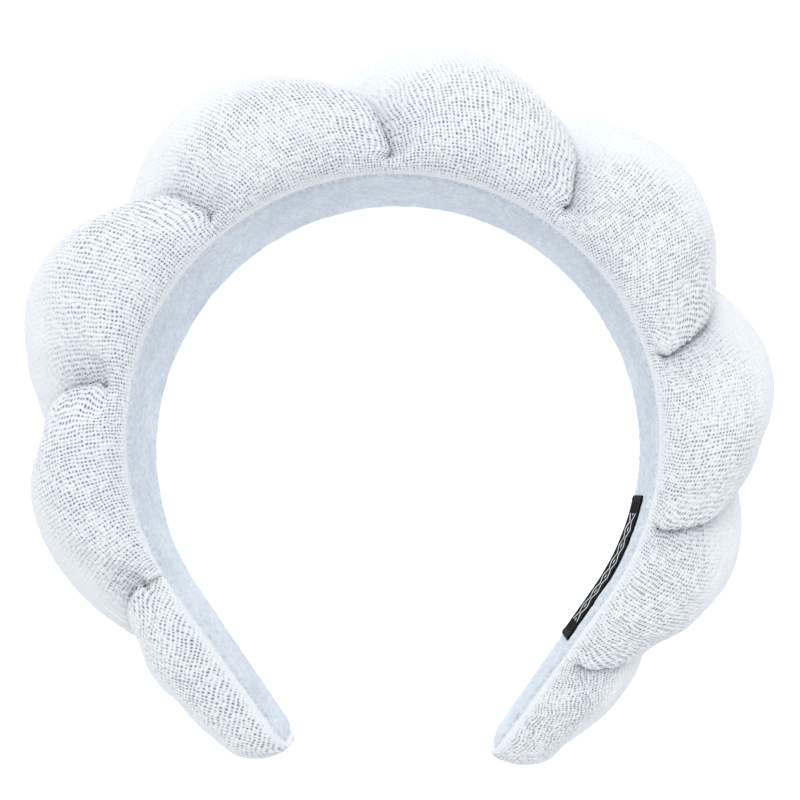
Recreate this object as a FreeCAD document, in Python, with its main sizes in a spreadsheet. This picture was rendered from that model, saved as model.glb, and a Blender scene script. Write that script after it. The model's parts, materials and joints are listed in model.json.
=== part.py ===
import FreeCAD, Part
import math
import os

import Sketcher
from FreeCAD import Placement, Rotation, Vector

# A padded spa headband: a C of nine puffs with straight legs, worn over the crown.
#
# Band frame: the head's axis is Z, +Y points at the crown and the mouth opens towards -Y. Stations
# along the band are angles about the head's axis, 90 at the crown and growing towards the left leg.
# Past the arc's two ends they keep counting along the straight legs, at the core's mid radius.
# Heights are measured outwards from the lining's inner face, and depths along Z.
# REST then lays the band on its side, its origin under the middle of its box.

DIMENSIONS = {
    "head_radius": 62.5,       # inner face of the lining, which sits on the head
    "lining_thick": 1.0,
    "core_thick": 1.2,         # springy plastic strip
    "cover_thick": 1.6,        # terry cloth with its pile
    "crown_angle": 90.0,
    "arc_half": 126.0,         # from the crown to where each straight leg starts
    "tip_half": 164.0,         # from the crown to the end of the strip
    "link_gap": 0.14,          # half the cut between two strip links, in degrees
    "spread_wedge": 3.6,       # lean of a puff's end face away from its crease, in degrees
    "lining_half": 15.0,
    "lining_tip_half": 7.5,
    "core_half": 12.5,
    "core_tip_half": 5.5,
    "core_corner": 3.0,        # rounding of the strip's two ends
    "taper_start": 30.0,       # Y where the strip starts to narrow
    "taper_end": -75.0,        # Y where it has its tip width
    "seam_width": 0.7,
    "seam_thick": 0.3,
    "thread_size": 0.5,        # cinch thread
    "thread_start": 10.0,      # height where the cinch thread leaves the fold
    "label_half": 7.5,
    "label_thick": 0.4,
    "label_sink": 0.3,         # how far the stitches press the label into the pile
    "stitch_size": 0.3,
    "stitch_long": 2.0,
    "section_dip": 0.25,       # part of a section's height that lies below the lining
    "tip_height": 14.5,        # last full section of both tips
    "tip_depth": 10.0,
    "tip_round": 3.6,          # length of the rounded end past that section
    "closing_height": 9.0,     # section that closes both tips
    "closing_depth": 7.2,
    "rest_tilt": 3.6,          # crown raised, so that crown and side puffs share the ground
}

# height and half depth at the middle of each puff, from the left tip over the crown to the right tip
PUFFS = (
    (18.5, 12.6),
    (27.6, 19.0),
    (35.6, 23.0),
    (36.4, 24.0),
    (36.0, 24.0),
    (35.8, 23.5),
    (31.2, 21.5),
    (25.2, 17.5),
    (18.5, 13.0),
)

# station, height and half depth of each cinched neck, in the same order
NECKS = (
    (214.0, 17.0, 11.8),
    (173.5, 21.5, 15.5),
    (133.0, 23.0, 18.0),
    (93.5, 24.0, 18.5),
    (56.5, 23.0, 18.5),
    (20.0, 23.0, 18.0),
    (-12.0, 19.5, 15.5),
    (-46.0, 17.5, 12.5),
)

LABEL_PUFF = 8
STITCHES_PER_END = 5
CLEAR = 20.0         # how far a cutting outline reaches past what it cuts
WIDE = 100.0         # wider than any section
TOLERANCE = 0.01
UP = Vector(0, 0, 1)

doc = FreeCAD.newDocument("spa_headband")
sheet = doc.addObject("Spreadsheet::Sheet", "Dims")


def put_number(row, alias, value):
    sheet.set("A%d" % row, alias)
    sheet.set("B%d" % row, str(value))
    sheet.setAlias("B%d" % row, alias)


def fill_sheet():
    cells = dict(DIMENSIONS)
    for number, (height, half_depth) in enumerate(PUFFS, 1):
        cells["puff_height_%d" % number] = height
        cells["puff_depth_%d" % number] = half_depth
    for number, (angle, height, half_depth) in enumerate(NECKS, 1):
        cells["neck_angle_%d" % number] = angle
        cells["neck_height_%d" % number] = height
        cells["neck_depth_%d" % number] = half_depth
    for row, (alias, value) in enumerate(cells.items(), 1):
        put_number(row, alias, value)
    doc.recompute()


fill_sheet()


def dim(alias):
    return float(sheet.get(alias))


CORE_MID = dim("head_radius") + dim("lining_thick") + dim("core_thick") / 2
ARC_LEFT = dim("crown_angle") + dim("arc_half")
ARC_RIGHT = dim("crown_angle") - dim("arc_half")
TIP_LEFT = dim("crown_angle") + dim("tip_half")
TIP_RIGHT = dim("crown_angle") - dim("tip_half")
REST_TURN = Placement(Vector(0, 0, 0), Rotation(Vector(1, 0, 0), dim("rest_tilt")))


def polar(radius, angle):
    turn = math.radians(angle)
    return Vector(radius * math.cos(turn), radius * math.sin(turn), 0)


def outward(angle):
    """Direction away from the head at a station, constant along each leg."""
    return polar(1, min(max(angle, ARC_RIGHT), ARC_LEFT))


def onward(angle):
    """Direction along the band, towards growing stations."""
    return UP.cross(outward(angle))


def point(angle, height):
    """A point of the band frame at a station and a height above the lining's inner face."""
    end = min(max(angle, ARC_RIGHT), ARC_LEFT)
    along_leg = math.radians(angle - end) * CORE_MID
    return polar(dim("head_radius") + height, end) + onward(angle) * along_leg


def hinge_point(number):
    """Bending line of the core at a neck."""
    return point(dim("neck_angle_%d" % number), CORE_MID - dim("head_radius"))


def puff_ends(number):
    """Stations of a puff's two ends as (right end, left end)."""
    right = dim("neck_angle_%d" % number) if number < len(PUFFS) else TIP_RIGHT
    left = dim("neck_angle_%d" % (number - 1)) if number > 1 else TIP_LEFT
    return right, left


def origin_plane(body, role):
    return next(feature for feature in body.Origin.OriginFeatures if feature.Role == role)


def new_sketch(body, name, role):
    sketch = body.newObject("Sketcher::SketchObject", name)
    sketch.AttachmentSupport = (origin_plane(body, role), "")
    sketch.MapMode = "FlatFace"
    return sketch


def bind(sketch, constraint, expression):
    index = sketch.addConstraint(constraint)
    sketch.setExpression("Constraints[%d]" % index, expression)


def join(sketch, first, first_end, second, second_end):
    sketch.addConstraint(Sketcher.Constraint("Coincident", first, first_end, second, second_end))


def arc_edge(sketch, radius, radius_cells, right, left):
    circle = Part.Circle(Vector(0, 0, 0), UP, radius)
    arc = sketch.addGeometry(Part.ArcOfCircle(circle, math.radians(right), math.radians(left)))
    join(sketch, arc, 3, -1, 1)
    bind(sketch, Sketcher.Constraint("Radius", arc, radius), radius_cells)
    return arc


def leg_edge(sketch, arc, arc_end, start, end, length_cells):
    """A straight run that leaves an arc tangentially, with its length bound to the sheet."""
    line = sketch.addGeometry(Part.LineSegment(start, end))
    sketch.addConstraint(Sketcher.Constraint("Tangent", arc, arc_end, line, 1))
    bind(sketch, Sketcher.Constraint("Distance", line, (end - start).Length), length_cells)
    return line


def strip_profile(sketch, heights, cells, right, left):
    """Outline of a strip that follows the band from one station to another: two parallel edges,
    each an arc with a straight run wherever the stations pass the arc's ends, and two end lines."""
    edges = []
    arc_right = max(right, ARC_RIGHT)
    arc_left = min(left, ARC_LEFT)
    per_degree = " * (Dims.head_radius + Dims.lining_thick + Dims.core_thick / 2) * pi / 180"
    for height, radius_cells in zip(heights, cells):
        if left < ARC_RIGHT:
            start, end = point(left, height), point(right, height)
            line = sketch.addGeometry(Part.LineSegment(start, end))
            bind(sketch, Sketcher.Constraint("Distance", line, (end - start).Length),
                 "(%.9g)" % (left - right) + per_degree)
            edges.append({"left": (line, 1), "right": (line, 2)})
            continue
        radius = dim("head_radius") + height
        arc = arc_edge(sketch, radius, radius_cells, arc_right, arc_left)
        edge = {"right": (arc, 1), "left": (arc, 2)}
        if left > ARC_LEFT:
            length = "(%.9g - Dims.crown_angle - Dims.arc_half)" % left + per_degree
            line = leg_edge(sketch, arc, 2, point(ARC_LEFT, height), point(left, height), length)
            edge["left"] = (line, 2)
        if right < ARC_RIGHT:
            length = "(Dims.crown_angle - Dims.arc_half - (%.9g))" % right + per_degree
            line = leg_edge(sketch, arc, 1, point(ARC_RIGHT, height), point(right, height), length)
            edge["right"] = (line, 2)
        edges.append(edge)
    for side, station in (("right", right), ("left", left)):
        low, high = point(station, heights[0]), point(station, heights[1])
        line = sketch.addGeometry(Part.LineSegment(low, high))
        join(sketch, edges[0][side][0], edges[0][side][1], line, 1)
        join(sketch, edges[1][side][0], edges[1][side][1], line, 2)


def taper_profile(sketch, half, tip_half):
    """The two areas outside a strip's tapered outline, drawn on the YZ plane."""
    start, end = dim("taper_start"), dim("taper_end")
    slope = (half - tip_half) / (start - end)
    far = end - CLEAR
    for side in (1, -1):
        corners = (
            Vector(start, side * half, 0),
            Vector(far, side * (half - slope * (start - far)), 0),
            Vector(far, side * (half + CLEAR), 0),
            Vector(start, side * (half + CLEAR), 0),
        )
        lines = [
            sketch.addGeometry(Part.LineSegment(corners[i], corners[(i + 1) % 4])) for i in range(4)
        ]
        for i in range(4):
            join(sketch, lines[i], 2, lines[(i + 1) % 4], 1)


def slot_profile(sketch, half, tip_half):
    """The area inside a strip's outline, drawn on the YZ plane: it leaves the two edges only."""
    start, end = dim("taper_start"), dim("taper_end")
    slope = (half - tip_half) / (start - end)
    far = end - CLEAR
    far_half = half - slope * (start - far)
    top = dim("head_radius") + CLEAR
    corners = (
        Vector(top, half, 0),
        Vector(start, half, 0),
        Vector(far, far_half, 0),
        Vector(far, -far_half, 0),
        Vector(start, -half, 0),
        Vector(top, -half, 0),
    )
    count = len(corners)
    lines = [
        sketch.addGeometry(Part.LineSegment(corners[i], corners[(i + 1) % count]))
        for i in range(count)
    ]
    for i in range(count):
        join(sketch, lines[i], 2, lines[(i + 1) % count], 1)


def strip_body(label, heights, cells, stations, halves, half_cell, inner_halves=None):
    """A curved strip as a Body: its profile padded both ways, then narrowed towards the tips."""
    right, left = stations
    body = doc.addObject("PartDesign::Body", label)
    body.Label = label
    profile = new_sketch(body, label + "_profile", "XY_Plane")
    strip_profile(profile, heights, cells, right, left)
    pad = body.newObject("PartDesign::Pad", label + "_pad")
    pad.Profile = profile
    pad.SideType = "Symmetric"
    pad.Length = 2 * halves[0]
    pad.setExpression("Length", half_cell)
    lowest = min(point(right, 0).y, point(left, 0).y)
    cuts = []
    if halves[0] != halves[1] and lowest < dim("taper_start"):
        cuts.append(("_taper", taper_profile, halves))
    if inner_halves:
        cuts.append(("_slot", slot_profile, inner_halves))
    for suffix, draw, limits in cuts:
        outline = new_sketch(body, label + suffix, "YZ_Plane")
        draw(outline, *limits)
        pocket = body.newObject("PartDesign::Pocket", label + suffix + "_pocket")
        pocket.Profile = outline
        pocket.SideType = "Symmetric"
        pocket.Type = "Length"
        pocket.Length = 4 * dim("head_radius")
        pocket.setExpression("Length", "4 * Dims.head_radius")
    return body


LINING_CELLS = ("Dims.head_radius", "Dims.head_radius + Dims.lining_thick")
CORE_CELLS = (LINING_CELLS[1], LINING_CELLS[1] + " + Dims.core_thick")
SEAM_CELLS = (LINING_CELLS[1] + " - Dims.seam_thick", LINING_CELLS[1])
LABEL_CELLS = ("Dims.head_radius + Dims.label_sink",
               "Dims.head_radius + Dims.label_sink + Dims.label_thick")
LINING_HALVES = (dim("lining_half"), dim("lining_tip_half"))
CORE_HALVES = (dim("core_half"), dim("core_tip_half"))
SEAM_HALVES = (LINING_HALVES[0] + dim("seam_width"), LINING_HALVES[1] + dim("seam_width"))
LINING_TOP = dim("lining_thick")
CORE_TOP = LINING_TOP + dim("core_thick")
LABEL_TOP = dim("label_sink") + dim("label_thick")


def link_stations(number):
    right, left = puff_ends(number)
    right += dim("link_gap") if number < len(PUFFS) else 0
    left -= dim("link_gap") if number > 1 else 0
    return right, left


def label_stations():
    right, left = link_stations(LABEL_PUFF)
    inset = 2 * dim("link_gap")
    return right + inset, left - inset


def label_strip(name, low, low_cell):
    """A strip as wide and as long as the label, from a height up to the label's top."""
    half = dim("label_half")
    return strip_body(name, (low, LABEL_TOP), (low_cell, LABEL_CELLS[1]), label_stations(),
                      (half, half), "2 * Dims.label_half")


def cut(label, base, tool):
    result = doc.addObject("Part::Cut", label)
    result.Label = label
    result.Base = base
    result.Tool = tool
    return result


def lining_strip(name, number):
    return strip_body(name, (0, LINING_TOP), LINING_CELLS, link_stations(number), LINING_HALVES,
                      "2 * Dims.lining_half")


def lining(number):
    """Velvet lining over one link, next to the head. Its pile is pressed flat under the label."""
    name = "lining_%d" % number
    if number != LABEL_PUFF:
        return lining_strip(name, number)
    bed = label_strip("label_bed", -dim("label_sink"), "Dims.head_radius - Dims.label_sink")
    return cut(name, lining_strip("lining_pile", number), bed)


def seam(number):
    """Overlock thread along both edges of the lining: two solids."""
    return strip_body("seam_thread_%d" % number, (LINING_TOP - dim("seam_thick"), LINING_TOP),
                      SEAM_CELLS, link_stations(number), SEAM_HALVES,
                      "2 * (Dims.lining_half + Dims.seam_width)", LINING_HALVES)


def round_strip_end(body, number):
    """Rounds the two corners where the core ends inside a tip."""
    doc.recompute()
    end = point(TIP_LEFT if number == 1 else TIP_RIGHT, LINING_TOP)
    names = []
    strip = body.Tip
    for index, edge in enumerate(strip.Shape.Edges, 1):
        middle = edge.CenterOfMass
        flat = Vector(middle.x, middle.y, 0)
        is_short = abs(edge.Length - dim("core_thick")) < TOLERANCE
        is_corner = is_short and abs(middle.z) > TOLERANCE
        if is_corner and (flat - end).Length < dim("core_thick"):
            names.append("Edge%d" % index)
    fillet = body.newObject("PartDesign::Fillet", body.Label + "_corners")
    fillet.Base = (strip, names)
    fillet.Radius = dim("core_corner")
    fillet.setExpression("Radius", "Dims.core_corner")
    return body


def core(number):
    """One link of the springy strip that gives the band its grip."""
    body = strip_body("band_core_%d" % number, (LINING_TOP, CORE_TOP), CORE_CELLS,
                      link_stations(number), CORE_HALVES, "2 * Dims.core_half")
    if number in (1, len(PUFFS)):
        round_strip_end(body, number)
    return body


def section(name, station, height_cell, depth_cell, shrink_cell, lean=0, shift=0):
    """One elliptical section of a puff. lean turns it about the core's bending line."""
    half_height = dim(height_cell) * (1 + dim("section_dip")) / 2
    centre = point(station, dim(height_cell) - half_height) + onward(station) * shift
    turn = Rotation(UP, outward(station), UP.cross(outward(station)), "XYZ")
    flat = Placement(centre, turn)
    pivot = point(station, CORE_MID - dim("head_radius"))
    swing = Placement(Vector(0, 0, 0), Rotation(UP, lean), pivot)
    ellipse = doc.addObject("Part::Ellipse", name)
    ellipse.Label = name
    ellipse.Placement = swing.multiply(flat)
    shrink = " - %s" % shrink_cell if shrink_cell else ""
    height = "Dims.%s * (1 + Dims.section_dip) / 2" % height_cell
    ellipse.MajorRadius = WIDE
    ellipse.setExpression("MinorRadius", height + shrink)
    ellipse.setExpression("MajorRadius", "Dims.%s%s" % (depth_cell, shrink))
    return ellipse


def neck_section(name, neck, side, shrink_cell):
    """End section at a neck. side is +1 for the puff on the growing side of it."""
    return section(name, dim("neck_angle_%d" % neck), "neck_height_%d" % neck,
                   "neck_depth_%d" % neck, shrink_cell, side * dim("spread_wedge"),
                   side * math.radians(dim("link_gap")) * CORE_MID)


def tip_sections(name, side, shrink_cell, recess):
    """Last full section and closing section of a tip. side is +1 for the left tip."""
    end = dim("crown_angle") + side * dim("tip_half")
    last = end - side * math.degrees(dim("tip_round") / CORE_MID)
    closing = end + side * math.degrees((dim("cover_thick") - recess) / CORE_MID)
    return [
        section(name + "_last", last, "tip_height", "tip_depth", shrink_cell),
        section(name + "_closing", closing, "closing_height", "closing_depth", shrink_cell),
    ]


def puff_loft(number, kind, shrink_cell, recess):
    """The round body of one puff, through its end sections and its full middle."""
    name = "%s_%d" % (kind, number)
    right, left = puff_ends(number)
    middle = section(name + "_middle", (right + left) / 2, "puff_height_%d" % number,
                     "puff_depth_%d" % number, shrink_cell)
    if number < len(PUFFS):
        first = [neck_section(name + "_right", number, 1, shrink_cell)]
    else:
        first = tip_sections(name, -1, shrink_cell, recess)[::-1]
    if number > 1:
        last = [neck_section(name + "_left", number - 1, -1, shrink_cell)]
    else:
        last = tip_sections(name, 1, shrink_cell, recess)
    loft = doc.addObject("Part::Loft", name)
    loft.Label = name
    loft.Sections = first + [middle] + last
    loft.Solid = True
    loft.Ruled = False
    return loft


def head_space(name, height, radius_cells):
    """Everything on the head's side of a height: a round prism drawn out to a point by the legs."""
    body = doc.addObject("PartDesign::Body", name)
    sketch = new_sketch(body, name + "_profile", "XY_Plane")
    radius = dim("head_radius") + height
    arc = arc_edge(sketch, radius, radius_cells, ARC_RIGHT, ARC_LEFT)
    apex = Vector(0, -radius / math.cos(math.radians(ARC_RIGHT + dim("crown_angle"))), 0)
    left = sketch.addGeometry(Part.LineSegment(polar(radius, ARC_LEFT), apex))
    right = sketch.addGeometry(Part.LineSegment(polar(radius, ARC_RIGHT), apex))
    sketch.addConstraint(Sketcher.Constraint("Tangent", arc, 2, left, 1))
    sketch.addConstraint(Sketcher.Constraint("Tangent", arc, 1, right, 1))
    join(sketch, left, 2, right, 2)
    pad = body.newObject("PartDesign::Pad", name + "_pad")
    pad.Profile = sketch
    pad.SideType = "Symmetric"
    pad.setExpression("Length", "2 * Dims.head_radius")
    return body


def inner_space():
    """What the foam and the cover leave free: the head's side of the lining, and the core."""
    head = head_space("head_side", LINING_TOP, LINING_CELLS[1])
    cells = ("Dims.head_radius + Dims.lining_thick / 2", CORE_CELLS[1])
    strip = strip_body("core_space", (LINING_TOP / 2, CORE_TOP), cells, (TIP_RIGHT, TIP_LEFT),
                       CORE_HALVES, "2 * Dims.core_half")
    both = doc.addObject("Part::Fuse", "inner_space")
    both.Base = head
    both.Tool = strip
    return both


def cinch_thread(number, free_side):
    """Thread round a neck, on the end face of the puff nearer the crown's right side. It starts and
    ends where the two end faces are far enough apart to hold it."""
    name = "cinch_thread_%d" % number
    rings = []
    for kind, shrink in (("outer", "-Dims.thread_size / 2"), ("inner", "Dims.thread_size / 2")):
        face = neck_section("%s_%s" % (name, kind), number, free_side, "(%s)" % shrink)
        ring = doc.addObject("Part::Extrusion", "%s_%s_ring" % (name, kind))
        ring.Base = face
        ring.DirMode = "Custom"
        ring.Dir = face.Placement.Rotation.multVec(UP)
        ring.Solid = True
        reach = "LengthRev" if free_side > 0 else "LengthFwd"
        ring.setExpression(reach, "Dims.thread_size")
        rings.append(ring)
    hoop = cut(name + "_hoop", rings[0], rings[1])
    return cut(name, hoop, thread_space)


def label_stitches():
    """Tack stitches over the label's two short ends: separate solids of one node."""
    stitches = []
    inset = math.degrees(dim("stitch_long") / CORE_MID)
    right, left = label_stations()
    spacing = 2 * dim("label_half") / STITCHES_PER_END
    for end, station in enumerate((right + inset, left - inset)):
        for number in range(STITCHES_PER_END):
            box = doc.addObject("Part::Box", "stitch_%d_%d" % (end, number))
            box.setExpression("Length", "Dims.stitch_size")
            box.setExpression("Width", "Dims.stitch_long")
            box.setExpression("Height", "Dims.stitch_size")
            depth = (number + 0.5) * spacing - dim("label_half") - dim("stitch_size") / 2
            corner = point(station, dim("label_sink") - dim("stitch_size"))
            turn = Rotation(outward(station), onward(station), UP, "XYZ")
            back = onward(station) * (dim("stitch_long") / 2)
            box.Placement = Placement(corner - back + UP * depth, turn)
            stitches.append(box)
    group = doc.addObject("Part::Compound", "label_stitches")
    group.Label = "label_stitches"
    group.Links = stitches
    return group


def build():
    space = inner_space()
    parts = []
    for number in range(1, len(PUFFS) + 1):
        parts.append(core(number))
        parts.append(lining(number))
        parts.append(seam(number))
        foam_form = puff_loft(number, "foam_form", "Dims.cover_thick", dim("cover_thick"))
        cover_form = puff_loft(number, "cover_form", "", 0)
        parts.append(cut("foam_pad_%d" % number, foam_form, space))
        shell = cut("cover_shell_%d" % number, cover_form, foam_form)
        parts.append(cut("terry_cover_%d" % number, shell, space))
    for number in range(1, len(NECKS) + 1):
        parts.append(cinch_thread(number, -1))
    parts.append(label_strip("woven_label", dim("label_sink"), LABEL_CELLS[0]))
    parts.append(label_stitches())
    return parts


def lay_down(parts):
    """Turns every part to the resting attitude and moves the ground and the origin under them."""
    for part in parts:
        part.Placement = REST_TURN
    doc.recompute()
    box = FreeCAD.BoundBox()
    for part in parts:
        box.add(part.Shape.optimalBoundingBox())
    centre = Vector((box.XMin + box.XMax) / 2, (box.YMin + box.YMax) / 2, box.ZMin)
    rest = Placement(-centre, REST_TURN.Rotation)
    for part in parts:
        part.Placement = rest
    doc.recompute()
    return rest


def check(parts):
    for item in doc.Objects:
        if "Invalid" in item.State or "Error" in item.State:
            raise RuntimeError("%s failed: %s" % (item.Name, item.State))
    for part in parts:
        if part.Shape.isNull() or not part.Shape.isValid() or not part.Shape.Solids:
            raise RuntimeError("%s has no valid shape" % part.Label)


thread_space = head_space("thread_space", dim("thread_start"),
                          "Dims.head_radius + Dims.thread_start")
PARTS = build()
REST = lay_down(PARTS)
check(PARTS)
os.makedirs("parts", exist_ok=True)
for part in PARTS:
    part.Shape.exportStep("parts/%s.step" % part.Label)
    print(part.Label, len(part.Shape.Solids), round(part.Shape.Volume, 1))
print("centre", *(round(value, 4) for value in REST.Base))
for number in range(1, len(NECKS) + 1):
    spot = REST.multVec(hinge_point(number))
    print("hinge", number, *(round(value, 4) for value in spot))
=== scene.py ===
"""A padded spa headband of white terry cloth, gathered into nine puffs on a springy strip."""
import json
import math

import bpy
import numpy as np
from mathutils import Matrix, Vector

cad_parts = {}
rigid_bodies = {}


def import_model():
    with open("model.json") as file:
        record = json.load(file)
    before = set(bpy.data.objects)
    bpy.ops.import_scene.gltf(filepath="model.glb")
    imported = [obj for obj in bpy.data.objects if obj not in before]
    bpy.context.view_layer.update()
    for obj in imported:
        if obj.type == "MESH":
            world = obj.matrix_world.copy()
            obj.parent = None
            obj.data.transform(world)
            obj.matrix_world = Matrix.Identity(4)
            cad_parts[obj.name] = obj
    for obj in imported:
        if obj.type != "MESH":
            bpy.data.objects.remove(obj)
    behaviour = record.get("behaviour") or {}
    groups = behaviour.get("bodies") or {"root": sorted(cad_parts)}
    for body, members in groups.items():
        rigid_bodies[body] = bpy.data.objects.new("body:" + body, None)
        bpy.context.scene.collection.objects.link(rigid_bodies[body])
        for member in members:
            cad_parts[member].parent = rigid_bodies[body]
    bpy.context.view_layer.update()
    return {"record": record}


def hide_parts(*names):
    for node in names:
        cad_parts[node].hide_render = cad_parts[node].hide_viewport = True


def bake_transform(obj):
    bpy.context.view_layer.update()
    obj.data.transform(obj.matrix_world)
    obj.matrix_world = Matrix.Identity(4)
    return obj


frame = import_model()

# Band frame, in millimetres: Z is the head's axis and +Y points at the crown. A station is an angle
# about that axis, 90 at the crown and growing towards the left leg. Past the arc's ends it counts on
# along the straight legs. n is the height above the lining's inner face.
MM = 0.001
HEAD = next(mount for mount in frame["record"]["mounts"] if mount["name"] == "head")
RADIUS = HEAD["dims"]["r_mm"]
CORE_HEIGHT = 1.6
CORE_MID = RADIUS + CORE_HEIGHT
LEAN = Vector((0, 0, 1)).rotation_difference(Vector(HEAD["axis"]))
REST = Matrix.Translation(Vector(HEAD["pos_m"])) @ LEAN.to_matrix().to_4x4()

# stations where the arc ends and where the band ends, and the lining's half widths at the crown and
# at the tips, with the Y between which it narrows
ARC_LEFT, ARC_RIGHT = 216.0, -36.0
TIP_LEFT, TIP_RIGHT = 256.6, -77.8
LINING_HALF, LINING_TIP_HALF = 15.0, 7.5
TAPER_START, TAPER_END = 30.0, -75.0

# bodies, heights and half depths, puff by puff, from the left tip over the crown to the right tip
PUFF_HEIGHT = [18.2, 27.6, 35.8, 36.6, 36.2, 36.0, 31.2, 25.2, 18.0]
PUFF_DEPTH = [12.8, 19.0, 23.0, 24.0, 24.0, 23.5, 21.5, 17.5, 13.2]
TIP_HEIGHT, TIP_DEPTH = 12.0, 9.5

# creases: station of the inner end on the front face, station at the outline, neck height and depth,
# and how far from the lining's edge the fold starts
CREASES = [
    (210.6, 216.6, 13.6, 10.4, 5.9),
    (169.6, 177.2, 18.6, 13.6, 8.5),
    (129.4, 141.5, 19.6, 15.4, 6.9),
    (90.4, 101.2, 19.4, 15.8, 6.3),
    (52.2, 65.6, 19.6, 15.6, 8.1),
    (17.2, 25.8, 18.4, 15.4, 4.4),
    (-18.0, -6.4, 15.4, 13.2, 3.6),
    (-51.6, -34.6, 13.6, 10.6, 4.3),
]
PUFFS = len(PUFF_HEIGHT)

# radii at which lengths along the creases and over the crests are measured
CREASE_RADIUS = RADIUS + 18.0
CREST_RADIUS = RADIUS + 20.0

# lining: columns per puff, rows, and how far it ends before the tips
LINING_COLUMNS, LINING_ROWS = 110, 76
LINING_SHORT = 1.2

# thread loops over the lining's edges
LOOP_PITCH, LOOP_RADIUS = 1.3, 0.11

# woven label: its end stations, half width, and how far off the middle it sits at both ends
LABEL_TOP, LABEL_END = -12.6, -48.6
LABEL_HALF = 7.4
LABEL_SHIFT = (-4.2, -2.2)
LABEL_COLUMNS, LABEL_ROWS, LABEL_BACK_ROWS = 380, 150, 12
LABEL_FRONT, LABEL_BACK = -0.42, -0.02
MARK_STEP, MARK_REACH = 4.4, 15.4

# the cover's fine grid, and the height of its two lining edges and of the wall between them
COLUMNS_PER_PUFF = 170
ROWS = 340
EDGE_HEIGHT = 0.8
WALL_HEIGHT = 1.0
WALL_STEPS = 8

# roll shape: height share of the widest point, share of the section over which front becomes back,
# and how wide and steep the two sides of a puff rise out of a crease
WIDEST = 0.42
FRONT_TO_BACK = (0.22, 0.62)
SLANT_REACH = 0.42
GENTLE_WIDTH, STEEP_WIDTH = 0.62, 0.42

# along the lining's edge the puffs hardly swell: width of that hold at a crease, what it grows by
# between creases, and the shallow valley that stays at the edge
HOLD_WIDTH, HOLD_GROWTH = 6.0, 9.0
VALLEY_WIDTH, VALLEY_SHARE = 8.0, 0.55

# how far and over what width a shoulder leans over its neighbour
OVERLAP, OVERLAP_WIDTH = 4.0, 2.6

# rounded tips: length, roundness, and what is left of the height, depth and width at the very end
CAP_LENGTH, CAP_POWER = 9.0, 2.2
CAP_HEIGHT, CAP_DEPTH, CAP_HALF = 0.08, 0.35, 0.30

# height under which the roll flattens on the ground
SOFT = 1.2

# cloth simulation: every so many columns, rows in all, frames, start gap and largest move in mm
CLOTH_COLUMNS, CLOTH_ROWS, CLOTH_FRAMES = 10, 75, 20
CLOTH_GAP, CLOTH_CAP = 1.0, 1.3
CLOTH_CAP_AT_CREASE = 0.6
INWARD_CUT = 0.55

# foam: columns per puff, rows, gap under the cover, and columns left out at both tips
FOAM_COLUMNS, FOAM_ROWS = 16, 40
FOAM_GAP = 3.4
FOAM_SHORT = 3

# gathers at the creases
PLEAT_PITCH, PLEAT_HEIGHT = 2.6, 0.42

# knit: pitch of the rows and of the holes in a row, depth of a hole, and then puff by puff the
# relative pitch, the turn of the rows in radians, and how much painted shade runs along the row grooves
ROW_PITCH, HOLE_PITCH = 1.02, 0.92
HOLE_DEPTH = 0.34
KNIT_SCALE = [0.92, 1, 1, 1, 1, 0.92, 0.90, 0.84, 0.84]
KNIT_TURN = [0.5, 0.0, 0.0, 0.05, 0.0, -0.4, -0.12, -0.3, 0.4]
KNIT_ROWED = [0.6, 1, 1, 1, 1, 0.3, 0.1, 0.1, 0.2]
KNIT_RADIUS = RADIUS + 21.0

# stands for no crease on that side
FAR = 99


def lattice_noise(a, b, seed):
    """Smooth noise between -1 and 1 over two coordinates, one bump per unit."""
    table = np.random.default_rng(seed).uniform(-1, 1, (97, 89))
    a0, b0 = np.floor(a).astype(int), np.floor(b).astype(int)
    fa, fb = a - a0, b - b0
    fa, fb = fa * fa * (3 - 2 * fa), fb * fb * (3 - 2 * fb)

    def corner(i, j):
        return table[(a0 + i) % 97, (b0 + j) % 89]

    low = corner(0, 0) * (1 - fa) + corner(1, 0) * fa
    high = corner(0, 1) * (1 - fa) + corner(1, 1) * fa
    return low * (1 - fb) + high * fb


def smoothstep(low, high, value):
    share = np.clip((value - low) / (high - low), 0, 1)
    return share * share * (3 - 2 * share)


def band_point(station, height, depth):
    """Points of the band frame from stations, heights and depths (arrays of one shape)."""
    end = np.clip(station, ARC_RIGHT, ARC_LEFT)
    turn = np.radians(end)
    along = np.radians(station - end) * CORE_MID
    x = (RADIUS + height) * np.cos(turn) - along * np.sin(turn)
    y = (RADIUS + height) * np.sin(turn) + along * np.cos(turn)
    return np.stack([x, y, np.broadcast_to(depth, x.shape)], -1)


def lining_half(station):
    """Half width of the lining, narrower down the legs."""
    y = band_point(station, np.zeros_like(station), 0)[..., 1]
    share = np.clip((TAPER_START - y) / (TAPER_START - TAPER_END), 0, 1)
    return LINING_HALF + (LINING_TIP_HALF - LINING_HALF) * share


def crease_station(index, slant):
    """Station of a crease, or of a tip's end (index 0 or 9), at a slant from -1, front, to 1, back."""
    if index == 0:
        return np.full_like(slant, TIP_LEFT)
    if index == PUFFS:
        return np.full_like(slant, TIP_RIGHT)
    inner, outline = CREASES[index - 1][:2]
    return outline + slant * (outline - inner)


def crease_outline():
    """Stations at the outline of the left tip, the eight creases and the right tip."""
    return np.array([crease_station(i, np.zeros(1))[0] for i in range(PUFFS + 1)])


def section(angle, height, depth, half, floor_n):
    """Round section of the roll: angle runs from -90 at the front lining edge, over 90 at the top,
    to 270 at the back lining edge."""
    middle = WIDEST * height
    side, rise = np.cos(angle), np.sin(angle)
    upper = rise >= 0
    n = np.where(upper, middle + (height - middle) * rise, middle + (middle - floor_n) * rise)
    reach = np.where(upper, depth, half + (depth - half) * np.abs(side))
    z = np.where(upper, depth * side, reach * np.sign(side))
    return n, z


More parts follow.
